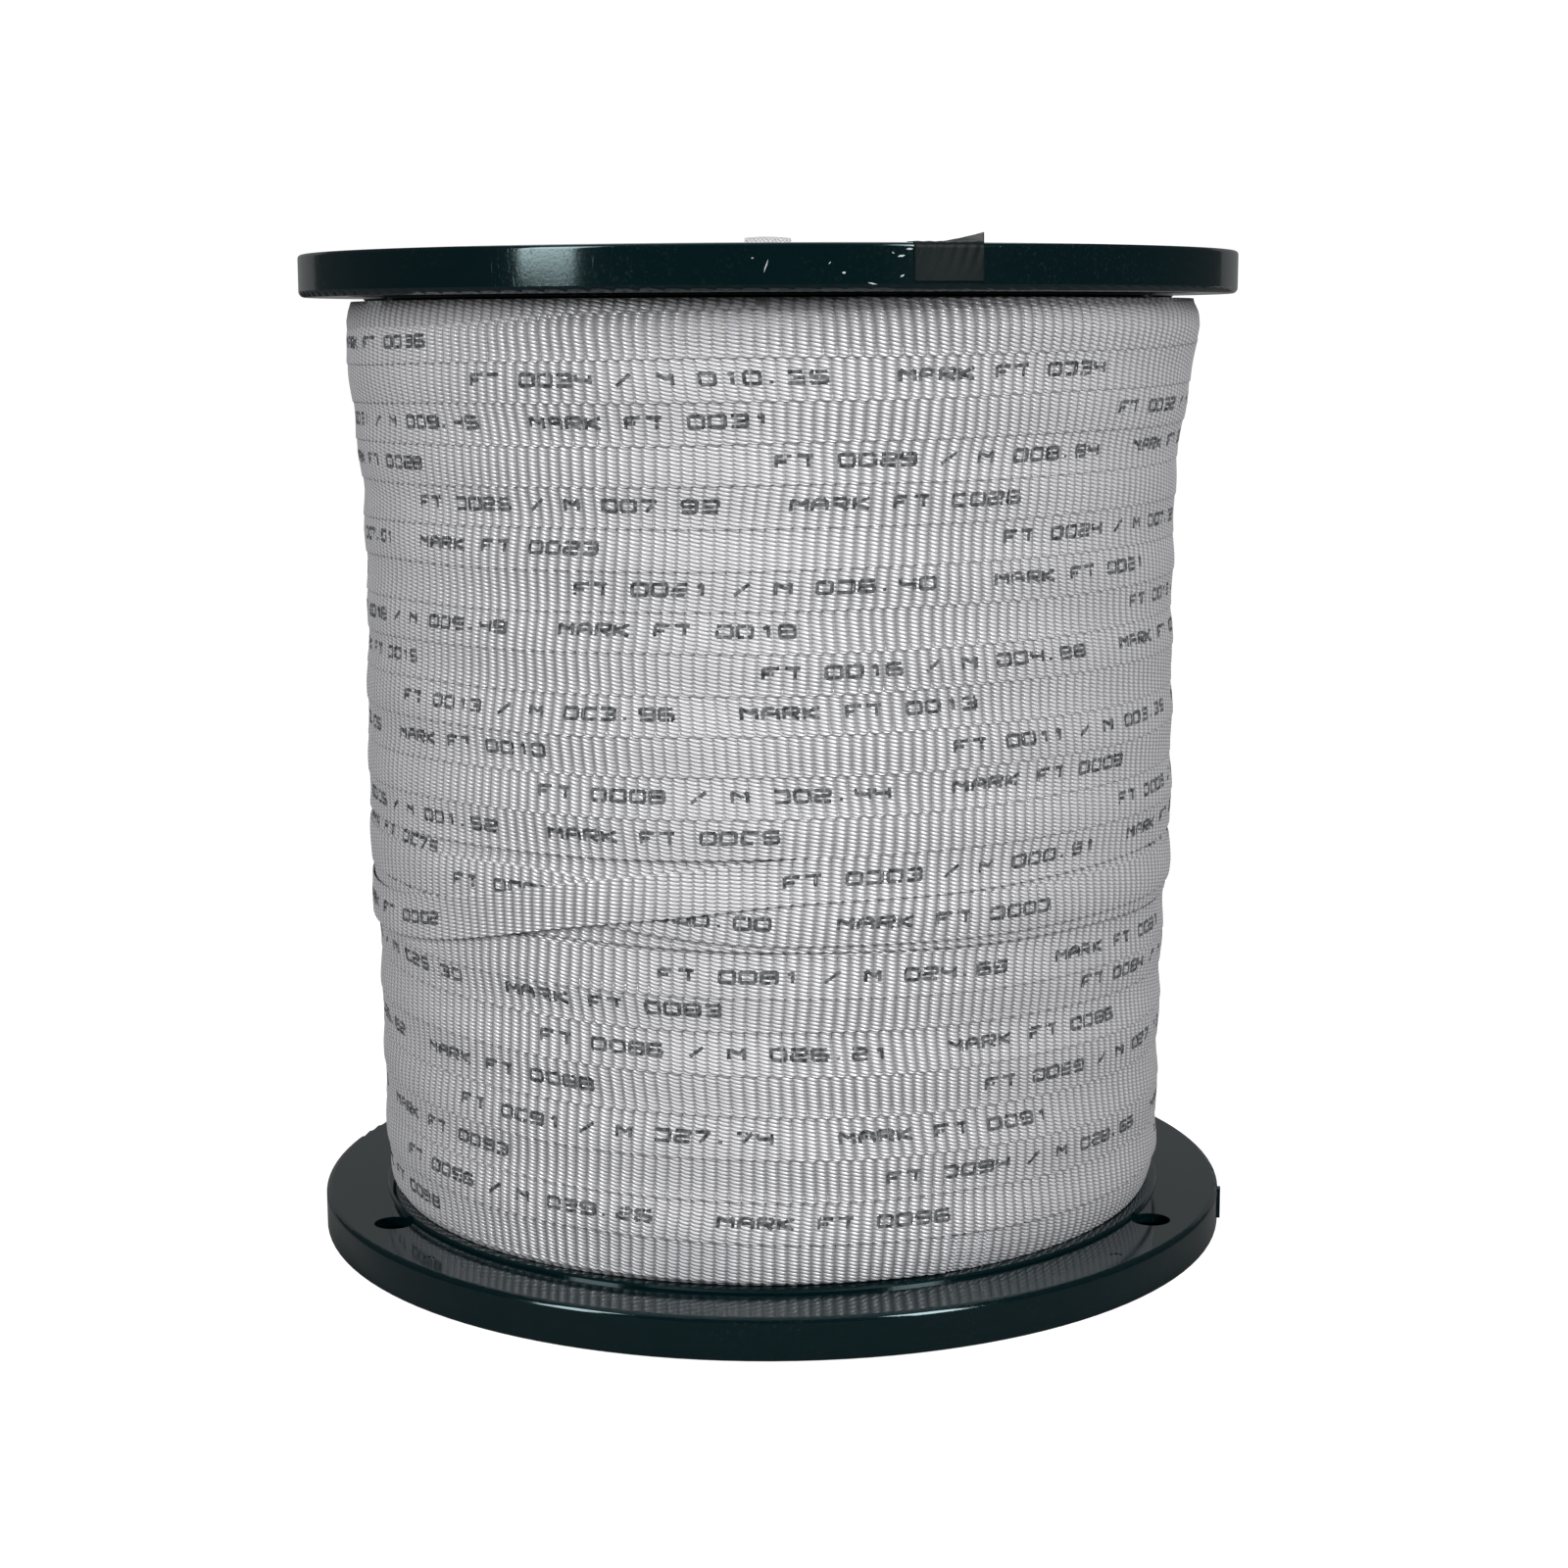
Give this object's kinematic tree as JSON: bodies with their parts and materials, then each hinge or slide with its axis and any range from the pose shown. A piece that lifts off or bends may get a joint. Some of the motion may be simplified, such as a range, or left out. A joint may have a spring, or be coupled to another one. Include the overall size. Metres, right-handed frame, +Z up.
{
  "type": "pulling tape reel",
  "caption": "Standing two-flange plastic reel wound full of flat white woven pulling tape, with a through arbor bore.",
  "frame": {"origin": "on the arbor's axis, in the outer plane of the lower flange that the reel stands on", "axes": "+Z up along the arbor's axis towards the upper flange, -Y the front, where the inner tape end leaves its slot"},
  "size_m": [0.289, 0.289, 0.3093],
  "materials": {
    "flange_plastic": "gloss black moulded plastic with a blue-green cast",
    "bush_steel": "machined steel",
    "core_board": "spiral wound board",
    "zinc_steel": "zinc plated",
    "woven_tape": "flat woven white polyester",
    "sticker_film": "plain dark adhesive film"
  },
  "bodies": {
    "reel": {"lower_flange": "flange_plastic", "upper_flange": "flange_plastic", "lower_arbor_bush": "bush_steel", "upper_arbor_bush": "bush_steel", "core_tube": "core_board", "tie_bolts": "zinc_steel", "head_washers": "zinc_steel", "nut_washers": "zinc_steel", "tie_bolt_nuts": "zinc_steel", "tape_inner_layers": "woven_tape", "tape_second_layer": "woven_tape", "tape_outer_layer": "woven_tape", "rim_sticker": "sticker_film"},
    "tape_tail": {"tape_tail": "woven_tape"}
  },
  "joints": [
    {"name": "tape_tail_lift", "type": "hinge", "parent": "reel", "child": "tape_tail", "pos_m": [0, -0.06195, 0.2963], "axis": [-1, 0, 0], "range_deg": [0, 45]}
  ]
}
